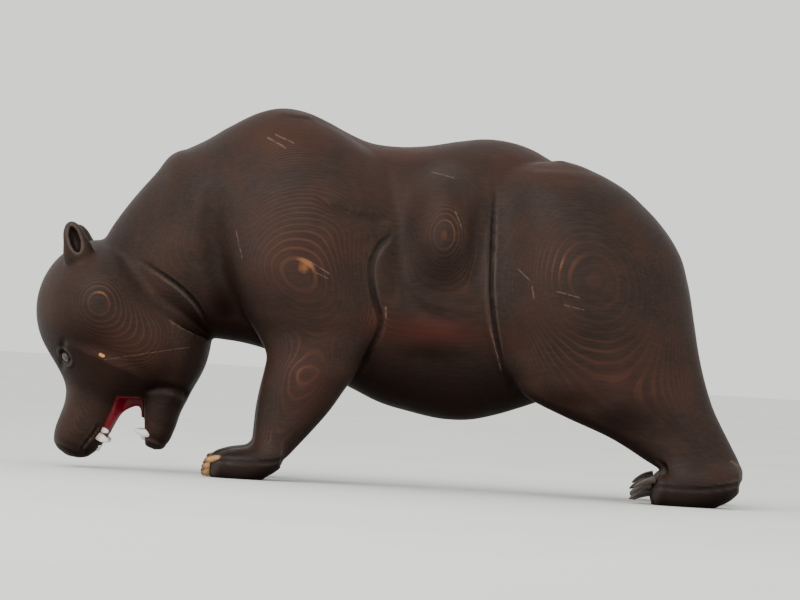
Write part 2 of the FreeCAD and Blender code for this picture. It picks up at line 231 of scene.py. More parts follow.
def stained_wood():
    g = Graph("stained_wood")
    g.marked = side_view(g)
    rings = growth_layers(g, 0.85)
    fine = growth_layers(g, 0.42)
    rub, warm, ridge_highlight_and_dust, crease_shade_and_dirt = (g.painted(name) for name in ("rub", "warm", "ridge_highlight_and_dust", "crease_shade_and_dirt"))
    paint, throat_shade, sole, under = (g.painted(name) for name in ("paint", "throat_shade", "sole", "under"))
    cloud = g.noise(0.035, 3.0, 0.6)
    speck = g.noise(0.5, 3.0, 0.6)
    fibre = g.noise(0.9, 2.0, 0.6, stretch=(1.0, 0.12, 1.0))

    base = g.mix(g.span(cloud, 0.35, 0.68), (0.0175, 0.0090, 0.0060), (0.031, 0.0140, 0.0084))
    base = g.mix(g.math("MULTIPLY", g.span(fibre, 0.35, 0.8), 0.35), base, (0.046, 0.029, 0.022))
    base = g.mix(warm, base, (0.050, 0.0098, 0.0048))
    shown = g.math("ADD", g.math("MULTIPLY", rub, 0.52), 0.05)
    base = g.mix(g.math("MULTIPLY", rings, shown, True), base, (0.120, 0.043, 0.020))
    base = g.mix(g.math("MULTIPLY", fine, 0.16), base, (0.011, 0.006, 0.005))
    bare = g.span(g.math("ADD", rub, g.math("MULTIPLY", g.math("ADD", speck, rings), 0.22)), 0.90, 1.25)
    base = g.mix(g.math("MULTIPLY", bare, 0.8), base, (0.250, 0.095, 0.034))
    # painted highlight along sharp ridges, mixed with some dust
    base = g.mix(g.math("MULTIPLY", ridge_highlight_and_dust, 0.40), base, (0.110, 0.082, 0.064))
    # painted shade in creases and hollows, with some dirt
    base = g.mix(g.math("MULTIPLY", crease_shade_and_dirt, 0.80), base, (0.0045, 0.003, 0.0025))
    # painted shade on the paws' bottoms and the bevels round them
    base = g.mix(g.math("MULTIPLY", sole, 0.55), base, (0.008, 0.005, 0.0045))
    # painted shade on the faces that look down and in the SHADED places
    base = g.mix(g.math("MULTIPLY", under, 0.86), base, (0.0050, 0.0020, 0.0014))

    marks = None
    for start, end, width in SCRATCHES:
        mark = g.scratch(start, end, width)
        marks = mark if marks is None else g.math("MAXIMUM", marks, mark)
    marks = g.math("MULTIPLY", marks, g.span(speck, 0.30, 0.60))
    base = g.mix(g.math("MULTIPLY", marks, 0.22), base, (0.330, 0.230, 0.170))
    chip = g.scratch(*CHIP)
    base = g.mix(chip, base, g.mix(speck, (0.30, 0.12, 0.03), (0.75, 0.42, 0.16)))

    red = g.mix(g.span(speck, 0.3, 0.7), (0.15, 0.0012, 0.010), (0.27, 0.003, 0.018))
    # painted shade: the red darkens towards the back of the mouth
    red = g.mix(throat_shade, red, (0.020, 0.001, 0.002))
    base = g.mix(paint, base, red)

    rough = g.math("ADD", g.span(cloud, 0.3, 0.7, 0.44, 0.54), g.math("MULTIPLY", speck, 0.10))
    rough = g.math("SUBTRACT", rough, g.math("MULTIPLY", paint, 0.12))
    facets = g.noise(0.055, 1.0, 0.4)
    g.bump((facets, 0.9), (rings, 0.035), (fibre, 0.05), (speck, 0.03), (marks, -0.12), (chip, -0.4))
    # less specular where that shade is painted
    gloss = g.math("MULTIPLY", g.math("SUBTRACT", 1.0, g.math("MULTIPLY", under, 0.85)), 0.17)
    return g.finish(base, rough, Specular_IOR_Level=gloss)


# from, to, half width; along Y and up, on the left flank
SCRATCHES = (
    ((-163.0, 58.3), (-117.3, 68.0), 0.24),
    ((58.0, 121.0), (65.0, 115.0), 0.5),
    ((66.0, 112.0), (67.5, 106.0), 0.6),
    ((80.0, 110.0), (92.0, 107.5), 0.45),
    ((84.0, 103.0), (95.0, 101.0), 0.4),
    ((107.0, 173.5), (113.0, 171.0), 0.7),
    ((8.0, 171.0), (20.0, 168.5), 0.45),
    ((-82.0, 184.0), (-72.0, 179.0), 0.8),
    ((-78.0, 186.0), (-68.0, 182.0), 0.6),
    ((-55.0, 118.0), (-44.0, 112.0), 0.5),
    ((-52.0, 112.5), (-45.0, 109.5), 0.45),
    ((-96.0, 132.0), (-92.0, 118.0), 0.4),
    ((180.0, 24.0), (183.5, 22.0), 1.0),
    ((-12.5, 96.0), (-12.0, 90.0), 0.8),
    ((44.0, 90.0), (52.0, 66.0), 0.5),
    ((22.0, 150.0), (26.0, 141.0), 0.5),
)
CHIP = ((-165.4, 60.9), (-163.8, 60.3), 1.25)


def amber_claw():
    g = Graph("claw_amber")
    tip, streak = g.painted("tip"), g.noise(0.8, 3.0, 0.6, stretch=(1.0, 0.2, 1.0))
    base = g.mix(g.span(streak, 0.3, 0.7), (0.27, 0.120, 0.034), (0.50, 0.26, 0.090))
    base = g.mix(g.span(tip, 0.72, 1.0), base, (0.11, 0.045, 0.018))
    base = g.mix(g.span(tip, 0.30, 0.06), base, (0.030, 0.014, 0.008))
    g.bump((streak, 0.08))
    return g.finish(base, g.span(streak, 0.2, 0.8, 0.34, 0.5))


def dark_claw():
    g = Graph("claw_dark")
    tip, streak = g.painted("tip"), g.noise(0.8, 3.0, 0.6, stretch=(1.0, 0.2, 1.0))
    base = g.mix(g.span(streak, 0.3, 0.7), (0.020, 0.012, 0.009), (0.050, 0.030, 0.022))
    base = g.mix(g.math("MULTIPLY", g.span(tip, 0.6, 1.0), 0.5), base, (0.090, 0.062, 0.048))
    g.bump((streak, 0.08))
    return g.finish(base, g.span(streak, 0.2, 0.8, 0.36, 0.5))


def ivory_tooth():
    g = Graph("tooth_white")
    tip, cloud = g.painted("tip"), g.noise(0.5, 3.0, 0.6)
    base = g.mix(g.span(cloud, 0.3, 0.7), (0.74, 0.70, 0.62), (0.86, 0.84, 0.79))
    base = g.mix(g.span(tip, 0.45, 0.05), base, (0.46, 0.30, 0.26))
    g.bump((cloud, 0.06))
    return g.finish(base, g.span(cloud, 0.2, 0.8, 0.28, 0.42))


def eye_glass():
    g = Graph("eye_glass")
    tip, cloud = g.painted("tip"), g.noise(0.7, 2.0)
    base = g.mix(g.span(tip, 0.80, 0.88), (0.030, 0.022, 0.018), (0.006, 0.005, 0.004))
    base = g.mix(g.math("MULTIPLY", g.span(cloud, 0.45, 0.75), 0.35), base, (0.16, 0.145, 0.13))
    g.bump((cloud, 0.02))
    return g.finish(base, g.span(cloud, 0.3, 0.7, 0.20, 0.34))


def pale_floor():
    g = Graph("floor")
    weave = g.noise(0.9, 2.0)
    cloud = g.noise(0.004, 2.0)
    base = g.mix(g.span(cloud, 0.3, 0.7), (0.80, 0.80, 0.775), (0.84, 0.84, 0.82))
    g.bump((weave, 0.15))
    return g.finish(base, g.span(weave, 0.2, 0.8, 0.75, 0.9))


# ---------------------------------------------------------------- field tools

def smooth_curve(keys, values, at):
    """A smooth line through the values at the keys, level beyond both ends."""
    keys = np.asarray(keys, np.float32)
    values = np.asarray(values, np.float32)
    slopes = np.diff(values) / np.diff(keys)
    tangents = np.empty_like(values)
    tangents[0], tangents[-1] = slopes[0], slopes[-1]
    gaps = np.diff(keys)
    tangents[1:-1] = (slopes[:-1] * gaps[1:] + slopes[1:] * gaps[:-1]) / (gaps[1:] + gaps[:-1])
    at = np.clip(at, keys[0], keys[-1])
    cell = np.clip(np.searchsorted(keys, at) - 1, 0, len(keys) - 2)
    gap = gaps[cell]
    t = (at - keys[cell]) / gap
    t2, t3 = t * t, t * t * t
    return (
        (2 * t3 - 3 * t2 + 1) * values[cell]
        + (t3 - 2 * t2 + t) * gap * tangents[cell]
        + (3 * t2 - 2 * t3) * values[cell + 1]
        + (t3 - t2) * gap * tangents[cell + 1]
    )


def melt(a, b, width):
    """The union of two fields, filleted over the width."""
    blend = np.maximum(width - np.abs(a - b), 0.0) / width
    return np.minimum(a, b) - blend * blend * width * 0.25


def carve(a, tool, width):
    """Field a with the tool cut out of it, its edges rounded over the width."""
    return -melt(-a, tool, width)


def ellipsoid(x, y, z, centre, radii, turn=0.0):
    """turn tips the ellipsoid about X, in degrees."""
    x, y, z = x - centre[0], y - centre[1], z - centre[2]
    if turn:
        c, s = math.cos(math.radians(turn)), math.sin(math.radians(turn))
        y, z = y * c + z * s, z * c - y * s
    near = np.sqrt((x / radii[0]) ** 2 + (y / radii[1]) ** 2 + (z / radii[2]) ** 2)
    slope = np.sqrt((x / radii[0] ** 2) ** 2 + (y / radii[1] ** 2) ** 2 + (z / radii[2] ** 2) ** 2)
    return near * (near - 1.0) / np.maximum(slope, 1e-6)


def oval_tube(along, across, up, stations, power=2.0):
    """A tube with oval sections: each station is (along, across, up, half width, half height)."""
    keys, *columns = zip(*stations)
    centre_a, centre_u, half_a, half_u = (smooth_curve(keys, c, along) for c in columns)
    a = np.abs(across - centre_a) / half_a
    u = np.abs(up - centre_u) / half_u
    near = (a ** power + u ** power) ** (1.0 / power)
    slope = np.sqrt((a / half_a) ** 2 + (u / half_u) ** 2)
    side = near * (near - 1.0) / np.maximum(slope, 1e-6)
    beyond = np.maximum(np.maximum(keys[0] - along, along - keys[-1]), 0.0)
    return np.where(beyond > 0.0, np.sqrt(np.maximum(side, 0.0) ** 2 + beyond ** 2), side)


def line_distance(a, b, points):
    """In a plane: distance to a smooth line through the points, and how far along it lies."""
    best = np.full(a.shape, 1e9, np.float32)
    run = np.zeros(a.shape, np.float32)
    total = 0.0
    for (a0, b0), (a1, b1) in zip(points[:-1], points[1:]):
        length = math.hypot(a1 - a0, b1 - b0)
        da, db = (a1 - a0) / length, (b1 - b0) / length
        t = np.clip((a - a0) * da + (b - b0) * db, 0.0, length)
        gap = np.hypot(a - a0 - t * da, b - b0 - t * db)
        closer = gap < best
        best = np.where(closer, gap, best)
        run = np.where(closer, total + t, run)
        total += length
    return best, run / total


def rounded(points, rounds=3):
    """The points with their corners cut, which tends to a smooth curve."""
    for _ in range(rounds):
        cut = [points[0]]
        for (a0, b0), (a1, b1) in zip(points[:-1], points[1:]):
            cut.append((0.75 * a0 + 0.25 * a1, 0.75 * b0 + 0.25 * b1))
            cut.append((0.25 * a0 + 0.75 * a1, 0.25 * b0 + 0.75 * b1))
        cut.append(points[-1])
        points = cut
    return points


# ---------------------------------------------------------------- the carving

def between(value, low, high):
    """0 below low, 1 above high and smooth between."""
    t = np.clip((value - low) / (high - low), 0.0, 1.0)
    return t * t * (3.0 - 2.0 * t)


def stroke(a, b, points, width, ends=0.12):
    """How strongly a stroke along the line is felt at each place, from 0 to 1."""
    points = rounded(points, 2)
    felt = np.zeros(a.shape, np.float32)
    low = np.min(points, 0) - 2.5 * width
    high = np.max(points, 0) + 2.5 * width
    near = (a > low[0]) & (a < high[0]) & (b > low[1]) & (b < high[1])
    gap, run = line_distance(a[near], b[near], points)
    fade = between(run, 0.0, ends) * between(1.0 - run, 0.0, ends)
    felt[near] = np.exp(-(gap / width) ** 2) * fade
    return felt


def leg_sections(rows):
    """rows: height, front, back, middle across, half width."""
    return [
        (z, mid, 0.5 * (front + back), wide, 0.5 * (back - front))
        for z, front, back, mid, wide in rows
    ]


# The tables and the lines below are laid out from a point this far behind the frame's origin,
# and as the camera sees them: what stands nearer to it is smaller than it looks.
LAYOUT_Y = 3.5
SIGHT = (-5.0, 101.0)
FORE_STEP, HIND_STEP = -3.0, 5.0   # the right legs' steps from the left ones


def as_seen(side, y, z):
    near = 1.0 - side / CAMERA_DISTANCE
    return SIGHT[0] + (y - LAYOUT_Y - SIGHT[0]) / near, SIGHT[1] + (z - SIGHT[1]) / near


def to_frame(x, y, z):
    near = 1.0 - np.abs(x) / CAMERA_DISTANCE
    y, z = SIGHT[0] + (y - SIGHT[0]) * near + LAYOUT_Y, SIGHT[1] + (z - SIGHT[1]) * near
    return np.stack([x + 0.0 * y, y, z], -1)


# along Y: top, bottom, half width
TRUNK = [
    (s, 0.0, 0.5 * (top + low), wide, 0.5 * (top - low))
    for s, top, low, wide in (
        (-126, 168, 100, 28), (-110, 184.0, 84, 34), (-99.5, 191.3, 78, 37.5), (-88.8, 197.2, 74, 41),
        (-76.5, 200.8, 70, 44), (-61, 199.3, 64, 46), (-50, 195.1, 60, 47), (-38.3, 189.6, 56, 48),
        (-27, 185.4, 51, 48.5), (-13, 184, 45, 49), (3.5, 185.2, 41, 49), (22.8, 189.1, 38, 49),
        (36.5, 191, 38.5, 49), (50.4, 190, 42, 48), (61.7, 186.8, 46, 46), (71.8, 181.8, 50, 44),
        (85, 175, 56, 41), (105, 163, 64, 36), (125, 144, 78, 28), (133, 132, 92, 20),
    )
]

# up Z: front, back, middle across, half width
FORELEG = leg_sections((
    (3, -80, -68, 38.5, 10), (9, -80.5, -63, 38.5, 11.5), (15, -80, -58, 38.5, 12),
    (27, -79.4, -48, 38.5, 13), (38, -78.8, -39.5, 38.3, 14.3), (50, -77.4, -32, 38, 16),
    (58, -76.2, -27, 37.5, 17), (66, -75.5, -23.8, 36.5, 17.2), (77, -81, -17.5, 35.5, 17.8),
    (89, -90, -14.8, 35, 20.5), (100, -96.5, -17.5, 34.5, 23), (116, -103, -21, 33, 25),
    (127, -105.5, -18.5, 31.6, 24.9), (138, -106, -12.5, 30, 24.4), (153, -102.7, -13, 27, 23),
    (165, -98, -17, 24, 21), (174, -93, -23, 21, 18.8), (183, -88, -33, 18, 15), (191, -81, -48, 15, 9),
    (196, -74, -62, 13, 2),
))

HIND_LEG = leg_sections((
    (3, 149, 174, 44, 11.5), (12, 147, 185, 44, 13), (17, 141.7, 185.6, 44, 13.5),
    (22, 133, 184.6, 42.5, 13.2), (33, 112.9, 178.8, 41, 14), (43, 87.3, 173, 39.5, 15.5),
    (51, 69, 168.7, 38.5, 16.5), (63, 58, 164, 37, 18.5), (79, 52, 159.2, 35.5, 22),
    (97, 47.5, 155.3, 33.5, 27), (119, 46.3, 150.4, 31.5, 30.3), (134, 46.3, 145.2, 30, 30.8),
    (147, 46.8, 136.4, 29, 29.3), (159, 48, 124.5, 28, 26), (170, 52, 109.9, 27, 19.5),
    (176.5, 59, 96, 26, 12.5), (180.5, 70, 84, 25, 4), (181.5, 76, 79, 25, 1),
))

# how far out the middle of each paw is, and from toe to toe
FOREPAW_MIDDLE = 38.5
HIND_PAW_MIDDLE = 44.0
TOE_PITCH = 5.6


def paw_sections(middle, rows):
    """rows: along Y, top, bottom, half width. What is below the floor is cut off later."""
    return [(y, middle, 0.5 * (top + low), wide, 0.5 * (top - low)) for y, top, low, wide in rows]


FOREPAW = paw_sections(FOREPAW_MIDDLE, (
    (-102.5, 9, -4, 10), (-100, 11, -7, 14.5), (-94, 13.5, -9, 16.3), (-84, 15.5, -9, 17),
    (-75, 17, -5, 16.3), (-69, 17.5, 0, 14.5), (-64.5, 17, 4, 12),
))
HIND_PAW = paw_sections(HIND_PAW_MIDDLE, (
    (137.5, 11, -4, 10), (140, 14, -7, 14.5), (146, 17, -9, 16.3), (156, 20, -10, 17),
    (166, 22, -7.5, 16.5), (175, 22, -3, 15.3), (181, 21, 1, 13.5), (184.5, 19, 5, 11),
))

# from the skull's centre towards the hump: middle and half size up, then across
NECK_FROM = (-158.5, 88.0)
NECK_TO = (-81.0, 148.0)
NECK = [
    (8, 0, 0, 28, 30), (24, 0, 0, 32.5, 37.5), (42, 0, -1.5, 36, 45), (58, 0, -2.5, 38.5, 50),
    (70, 0, -0.5, 41, 51), (82, 0, -1.5, 42, 48.5), (98, 0, -3, 40, 40),
]

HEAD = (0.0, -158.5, 88.0)  # the skull's centre
HEAD_PITCH = math.radians(69.0)
MUZZLE = [
    (-84.2, 0, -9.5, 2, 1.5), (-83.4, 0, -9.5, 7, 5), (-81.5, 0, -9.7, 11, 8.8), (-78, 0, -10, 14, 11.4),
    (-73, 0, -10.5, 16, 13.2), (-66, 0, -11, 17.8, 14.2), (-58, 0, -11, 19.5, 15), (-50, 0, -10, 22, 17),
    (-42, 0, -8.5, 26, 21), (-30, 0, -6, 32, 27),
]
LOWER_JAW = [
    (-62, 0, -48.8, 5, 2.5), (-60.8, 0, -48.8, 9, 5.0), (-56.5, 0, -48.4, 12.8, 7.6),
    (-48, 0, -46.8, 16, 9.8), (-38, 0, -44, 19, 11.8), (-28, 0, -42, 23, 14.2),
    (-14, 0, -38.5, 28, 17.5), (4, 0, -34, 32, 20),
]


def into_head(y, z):
    """Head coordinates: the muzzle points to -y and the forehead to +z."""
    c, s = math.cos(HEAD_PITCH), math.sin(HEAD_PITCH)
    dy, dz = y - HEAD[1], z - HEAD[2]
    return dy * c + dz * s, dz * c - dy * s


def neck(x, y, z):
    length = math.dist(NECK_FROM, NECK_TO)
    dy, dz = (NECK_TO[0] - NECK_FROM[0]) / length, (NECK_TO[1] - NECK_FROM[1]) / length
    y, z = y - NECK_FROM[0], z - NECK_FROM[1]
    return oval_tube(y * dy + z * dz, x, z * dy - y * dz, NECK, 2.1)


def mouth_floor(hy, hz):
    slope = math.radians(26.0)
    return (-(hz + 33.4) - (-37.0 - hy) * math.tan(slope)) * math.cos(slope)


def mouth(x, hy, hz):
    """Cut right through, but for a web between the cheeks at the back."""
    roof = hz + 21.9 + 6.0 * between(-x, -16.0, -1.0)
    wall = hy + 40.2 + 0.417 * (hz + 32.6)
    wedge = np.maximum(np.maximum(roof, mouth_floor(hy, hz)), wall)
    web = np.maximum(x - 6.0, 0.8 * (-54.2 - 0.62 * (29.6 + hz) - hy))
    return np.maximum(wedge, -web)


def ear(x, hy, hz):
    leaf = ellipsoid(x, hy, hz, (26.5, 21.5, 33.8), (5.6, 12.6, 6.4), 40.0)
    foot = ellipsoid(x, hy, hz, (26.0, 16.5, 30.0), (6.2, 9.0, 8.0), 20.0)
    cup = ellipsoid(x, hy, hz, (31.5, 23.5, 35.6), (5.0, 7.6, 2.9), 40.0)
    return carve(melt(leaf, foot, 4), cup, 1.0)


def head_block(x, hy, hz):
    crown = ellipsoid(x, hy, hz, (0, -2.5, 10.5), (43.5, 34.5, 31.5))
    cheeks = ellipsoid(x, hy, hz, (0, -10, -12), (38.5, 37.5, 45))
    form = melt(crown, cheeks, 12)
    form = melt(form, oval_tube(hy, x, hz, MUZZLE, 2.3), 9)
    return melt(form, oval_tube(hy, x, hz, LOWER_JAW, 2.3), 4)


def face_at(hy, hz):
    """How far out the side of the head lies at a place of its profile."""
    out = np.arange(0.0, 50.0, 0.05, dtype=np.float32)
    inside = head_block(out, np.full_like(out, hy), np.full_like(out, hz)) < 0.0
    return float(out[inside].max())


EYE_AT = (-37.0, 13.5)
EYE = (face_at(*EYE_AT), *EYE_AT)


def head(x, y, z):
    hy, hz = into_head(y, z)
    form = head_block(x, hy, hz)
    side = between(x, 6.0, 12.0)
    # the eye's hollow, its lids and the long corner behind it
    away = np.sqrt((x - EYE[0]) ** 2 + (hy - EYE[1]) ** 2 + (hz - EYE[2]) ** 2)
    form = form + 2.0 * np.exp(-(away / 3.6) ** 2) - 0.7 * np.exp(-((away - 5.2) / 1.2) ** 2)
    form = form + 1.0 * side * stroke(hy, hz, [(-45, 11), (-38, 14.5), (-32, 17.5), (-26, 18.5)], 1.6, 0.3)
    # the jaw's edge, the line above the lip and the nostril
    form = form + 1.6 * side * stroke(hy, hz, [(-37, -31), (-30, -40), (-27, -50), (-29, -60)], 2.4, 0.2)
    form = form + 0.9 * stroke(hy, hz, [(-82, -15.5), (-76, -15), (-68, -17.5), (-61, -18)], 0.9, 0.25)
    nostril = np.sqrt((x - 5.6) ** 2 + ((hy + 82) / 1.4) ** 2 + (hz + 7.0) ** 2)
    form = form + 1.6 * np.exp(-(nostril / 1.9) ** 2)
    form = carve(form, mouth(x, hy, hz), 1.0)
    return melt(form, ear(x, hy, hz), 3)


SHOULDER_CREASE = [(-19, 178), (-15, 165), (-11, 152), (-10.5, 140)]
ELBOW_CREASE = [
    (-9, 139), (-14, 134), (-20, 127), (-22.5, 116), (-19.5, 101), (-14.6, 90),
    (-15.5, 81), (-20.5, 71), (-24.5, 57),
]
LEDGE = [(-8, 141), (-18, 142.5), (-30, 143), (-44, 147), (-56, 155)]
THIGH_CREASE = [
    (41, 178), (42.5, 165), (43, 142), (43.5, 115), (45.7, 96), (49.6, 79), (54.2, 63), (57, 50),
]
NECK_CREASE = [(28.5, 8), (27, -10.3), (22.5, -33.7), (13.6, -48.3), (-2, -58)]
CHEST_FURROW = [(-104, 166), (-109, 148), (-109.5, 128), (-103, 106), (-93, 88), (-84, 76)]
RIB_FURROW = [(-6, 160), (-8, 135), (-6, 112), (4, 96), (20, 90), (33, 96)]


def creases(x, y, z):
    """What the gouge took off along the folds of the flank."""
    flank = between(x, 12.0, 28.0)
    cut = 1.3 * stroke(y, z, SHOULDER_CREASE, 3.6, 0.3)
    cut += 1.7 * stroke(y, z, ELBOW_CREASE, 1.9, 0.12)
    cut += 1.6 * stroke(y, z, LEDGE, 3.2, 0.3)
    cut += 1.4 * stroke(y, z, THIGH_CREASE, 1.3, 0.3)
    cut -= 0.7 * stroke(y, z, [(a - 3.6, b) for a, b in THIGH_CREASE[1:-1]], 1.9, 0.3)
    cut += 0.7 * stroke(y, z, [(a - 9.5, b) for a, b in THIGH_CREASE[1:-3]], 3.4, 0.4)
    cut += 2.8 * stroke(y, z, CHEST_FURROW, 6.5, 0.3)
    cut += 1.2 * stroke(y, z, RIB_FURROW, 5.0, 0.25)
    hy, hz = into_head(y, z)
    cut += 1.3 * stroke(hy, hz, NECK_CREASE, 1.3, 0.45)
    return cut * flank


def paw_detail(x, y, z, middle, front, back, toes_at):
    """The line around the sole, the sole's bevel and the gaps between the toes."""
    near = between(-np.abs(x - middle), -30.0, -24.0) * between(-z, -24.0, -16.0)
    ahead = (y - front) / (back - front)
    near = near * between(ahead, -0.4, -0.2) * between(-ahead, -1.4, -1.15)
    line = smooth_curve((0.0, 0.3, 0.7, 1.0), (8.5, 7.5, 9.0, 13.0), ahead)
    cut = 0.8 * np.exp(-((z - line) / 1.2) ** 2) + 0.26 * np.maximum(line - z, 0.0)
    for step in (-1.5, -0.5, 0.5, 1.5):
        gap = np.exp(-((x - middle - TOE_PITCH * step) / 0.9) ** 2)
        cut = cut + 1.6 * gap * between(-y, -toes_at - 3.0, -toes_at + 4.0)
    return cut * near


def bear(x, y, z):
    ground = -z
    lean_fore = np.where(x > 0, 0.0, FORE_STEP) * between(-z, -110.0, -30.0)
    lean_hind = np.where(x > 0, 0.0, HIND_STEP) * between(-z, -120.0, -40.0)
    x = np.abs(x)
    y, z = as_seen(x, y, z)
    form = melt(oval_tube(y, x, z, TRUNK, 2.15), neck(x, y, z), 14)
    form = melt(form, ellipsoid(x, y, z, (28, 17, 137), (29.5, 24, 36)), 7)
    form = melt(form, ellipsoid(x, y, z, (0, 115, 110), (36, 33, 42)), 16)
    fore_y, hind_y = y - lean_fore, y - lean_hind
    hind = melt(oval_tube(z, x, hind_y, HIND_LEG, 2.15), oval_tube(hind_y, x, z, HIND_PAW, 2.5), 5)
    hind = hind + paw_detail(x, hind_y, z, HIND_PAW_MIDDLE, 137.5, 187.5, 148.0)
    fore = melt(oval_tube(z, x, fore_y, FORELEG, 2.15), oval_tube(fore_y, x, z, FOREPAW, 2.5), 5)
    fore = fore + paw_detail(x, fore_y, z, FOREPAW_MIDDLE, -102.5, -51.5, -92.0)
    form = melt(form, hind, 8)
    form = melt(form, fore, 5)
    form = melt(form, head(x, y, z), 3)
    form = form + creases(x, y, z)
    return np.maximum(form, ground)


# ---------------------------------------------------------------- field to mesh

LOW = np.array([-66.0, -201.0, -4.0])
HIGH = np.array([66.0, 201.0, 207.0])
COARSE = 5                  # fine cells in one coarse cell
CELL = 1.2                  # millimetres


def grid_axes(step):
    return [np.arange(low, high + step, step, dtype=np.float32) for low, high in zip(LOW, HIGH)]


def sample(field, axes):
    x, y, z = np.meshgrid(*axes, indexing="ij")
    return field(x.ravel(), y.ravel(), z.ravel()).reshape(x.shape).astype(np.float32)


def fine_field(field):
    """The field on the fine grid, worked out in full only near the surface."""
    big = CELL * COARSE
    coarse_axes = grid_axes(big)
    coarse = sample(field, coarse_axes)
    fine = np.repeat(np.repeat(np.repeat(coarse, COARSE, 0), COARSE, 1), COARSE, 2)
    near = np.abs(fine) < big * 2.2
    i, j, k = np.nonzero(near)
    shift = (COARSE - 1) / 2.0
    points = [
        (axis[0] + (index.astype(np.float32) - shift) * CELL)
        for axis, index in zip(coarse_axes, (i, j, k))
    ]
    fine[i, j, k] = field(*points)
    origin = [axis[0] - shift * CELL for axis in coarse_axes]
    return fine, np.array(origin, np.float32)


def field_to_mesh(name, field):
    values, origin = fine_field(field)
    grid = openvdb.FloatGrid(float(values.max()))
    grid.copyFromArray(values)
    points, triangles, quads = grid.convertToPolygons(0.0, 0.0)
    points = points * CELL + origin
    points = settle(field, points)
    mesh = bpy.data.meshes.new(name)
    # the polygons come inside out
    faces = [tuple(int(v) for v in face[::-1]) for face in quads]
    faces += [tuple(int(v) for v in face[::-1]) for face in triangles]
    mesh.from_pydata((points * MM).tolist(), [], faces)
    mesh.polygons.foreach_set("use_smooth", [True] * len(mesh.polygons))
    mesh.update()
    return mesh, points


def slope_of(field, points, reach=0.15):
    x, y, z = points.T
    parts = []
    for dx, dy, dz in ((reach, 0, 0), (0, reach, 0), (0, 0, reach)):
        parts.append((field(x + dx, y + dy, z + dz) - field(x - dx, y - dy, z - dz)) / (2 * reach))
    return np.stack(parts, 1)


def settle(field, points, rounds=2):
    """Moves the points onto the surface."""
    for _ in range(rounds):
        slope = slope_of(field, points)
        steep = np.maximum((slope ** 2).sum(1), 0.05)
        push = np.clip(field(*points.T) / steep, -0.6, 0.6)
        points = points - slope * push[:, None]
    return points


# ---------------------------------------------------------------- what the surface shows

# where the stain is rubbed through: along Y, up, half length, half height, strength
RUBBED = (
    (-58, 115, 9, 9, 1.0), (-60, 126, 20, 16, 0.55), (-62, 148, 24, 12, 0.35), (82, 125, 11, 8, 0.75),
    (95, 78, 34, 10, 0.40), (20, 141, 9, 15, 0.7), (30, 118, 10, 14, 0.30), (-167, 94, 10, 8, 0.75),
    (-158, 78, 26, 14, 0.40), (-141, 60, 14, 8, 0.55), (-58, 58, 8, 16, 0.65), (-78, 180, 18, 10, 0.65),
    (80, 172, 30, 6, 0.40), (-75, 21, 14, 5, 0.55), (122, 62, 24, 9, 0.40), (-17, 88, 7, 7, 0.6),
    (-112, 168, 18, 8, 0.30), (10, 186, 40, 6, 0.30), (-180, 30, 8, 12, 0.30),
)
# where the brown turns red: the same columns
REDDENED = (
    (12, 84, 34, 8, 0.95), (-12, 182, 26, 7, 0.6), (-70, 190, 30, 12, 0.35), (-150, 66, 26, 14, 0.35),
    (-50, 60, 14, 24, 0.30), (110, 62, 34, 14, 0.30), (-16, 88, 9, 9, 0.6), (-58, 118, 24, 20, 0.25),
    (70, 180, 34, 8, 0.4),
)


# where shade is painted, strongest at the middle: the same columns
SHADED = (
    (-100, 90, 15, 17, 1.0), (-92, 78, 16, 12, 1.0), (12, 72, 34, 9, 0.8), (88, 52, 26, 9, 0.75),
    (118, 42, 26, 12, 0.8), (-30, 50, 10, 14, 0.4), (-118, 52, 12, 14, 0.45), (-12, 120, 6, 26, 0.3),
    (-108, 120, 8, 30, 0.35),
)


def blotches(y, z, rows):
    total = np.zeros_like(y)
    for at, up, long, tall, strength in rows:
        total = np.maximum(total, strength * np.exp(-((y - at) / long) ** 2 - ((z - up) / tall) ** 2))
    return total


def sharpness(points, reach=1.0):
    """How sharply the surface bends out at the points; negative where it bends in."""
    x, y, z = points.T
    total = -6.0 * bear(x, y, z)
    for dx, dy, dz in ((reach, 0, 0), (0, reach, 0), (0, 0, reach)):
        total += bear(x + dx, y + dy, z + dz) + bear(x - dx, y - dy, z - dz)
    return total / reach ** 2


def surface_values(points):
    x, y, z = points.T
    side = np.abs(x)
    y, z = as_seen(side, y, z)
    hy, hz = into_head(y, z)
    bend = sharpness(points)
    slope = slope_of(bear, points)
    under = -slope[:, 2] / np.linalg.norm(slope, axis=1)
    cut = mouth(side, hy, hz)
    inside = between(-np.abs(cut), -1.2, -0.5) * (z < 80) * (hy > -82) * (hy < -30)
    bare_jaw = between(-np.abs(mouth_floor(hy, hz)), -1.3, -0.7)
    # the paws' lowest band, which gets painted shade
    paws = ((y > 130) | ((y < -48) & (y > -106))) * between(-z, -13.5, -10.5)
    return {
        "rub": blotches(y, z, RUBBED),
        "warm": blotches(y, z, REDDENED),
        # sharp ridges: painted highlight with some dust
        "ridge_highlight_and_dust": between(bend, 0.16, 0.60),
        # creases and hollows: painted shade with some dirt
        "crease_shade_and_dirt": between(-bend, 0.12, 0.60),
        "paint": inside * (1.0 - bare_jaw),
        # painted shade deep in the mouth
        "throat_shade": 0.75 * between(hy, -58.0, -38.0),
        "sole": paws,
        # faces that look down, and the SHADED places: painted shade
        "under": np.maximum(between(under, -0.05, 0.85), blotches(y, z, SHADED)),
    }


def write_values(mesh, values):
    for name, column in values.items():
        layer = mesh.attributes.new(name, "FLOAT", "POINT")
        layer.data.foreach_set("value", np.asarray(column, np.float32))


# ---------------------------------------------------------------- inserts

